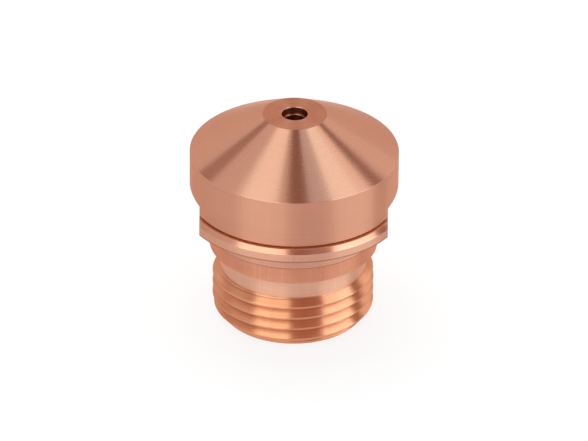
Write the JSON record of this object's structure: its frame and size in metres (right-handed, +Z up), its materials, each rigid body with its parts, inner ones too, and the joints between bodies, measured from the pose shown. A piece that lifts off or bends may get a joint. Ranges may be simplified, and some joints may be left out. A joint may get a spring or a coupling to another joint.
{
  "type": "plasma torch nozzle",
  "caption": "Turned copper nozzle: flat-tipped cone with a stepped orifice, plain collar, flange with two spanner flats, locating neck and fine-threaded tail with a rear bore.",
  "frame": {"origin": "centre of the threaded end face, on the nozzle's axis, at the height of the surface it stands on", "axes": "+Z up the axis from the threaded end to the tip, +X square to one of the two spanner flats, +Y along the flats"},
  "size_m": [0.0256, 0.0272, 0.0276],
  "materials": {
    "copper": "bare turned copper, satin"
  },
  "bodies": {
    "root": {"torch_nozzle": "copper"}
  },
  "joints": []
}
